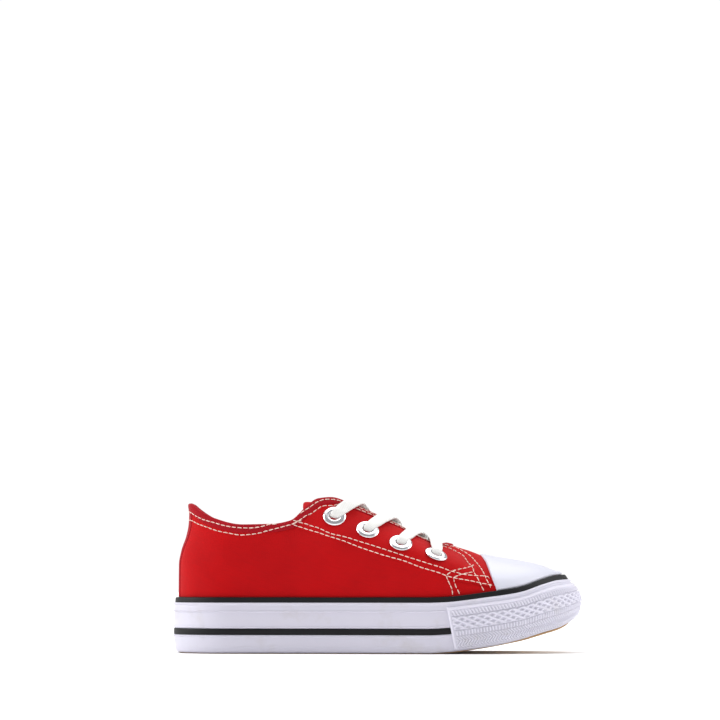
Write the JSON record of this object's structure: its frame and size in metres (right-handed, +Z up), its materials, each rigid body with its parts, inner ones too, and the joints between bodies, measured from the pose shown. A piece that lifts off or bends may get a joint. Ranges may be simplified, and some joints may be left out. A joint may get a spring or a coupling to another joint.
{
  "type": "canvas sneaker",
  "caption": "Low canvas shoe for a child's right foot, with a rubber sole, rubber toe cap, tongue, eyelets and a flat lace.",
  "frame": {"origin": "on the ground under the middle of the shoe's length and width", "axes": "+X to the toe, +Y to the inner (big toe) side, +Z up"},
  "size_m": [0.1904, 0.0733, 0.072],
  "materials": {
    "red_canvas": "woven cotton canvas, matt, bright red",
    "lining": "plain cotton, matt, off-white",
    "lace": "flat woven cotton, matt, white",
    "white_rubber": "smooth vulcanised rubber, satin, white",
    "black_rubber": "smooth vulcanised rubber, satin, black",
    "tan_rubber": "gum rubber, matt, tan",
    "eyelet_metal": "bright nickel plate"
  },
  "bodies": {
    "root": {"outsole": "tan_rubber", "foxing": "white_rubber", "stripe_top": "black_rubber", "stripe_lower": "black_rubber", "toe_bumper": "white_rubber", "toe_cap": "white_rubber", "insole": "lining", "upper": "red_canvas", "tongue": "red_canvas", "eyelet_outer_1": "eyelet_metal", "eyelet_outer_2": "eyelet_metal", "eyelet_outer_3": "eyelet_metal", "eyelet_outer_4": "eyelet_metal", "eyelet_inner_1": "eyelet_metal", "eyelet_inner_2": "eyelet_metal", "eyelet_inner_3": "eyelet_metal", "eyelet_inner_4": "eyelet_metal", "lace_cross_1": "lace", "lace_cross_2": "lace", "lace_cross_3": "lace", "lace_bar": "lace"}
  },
  "joints": []
}
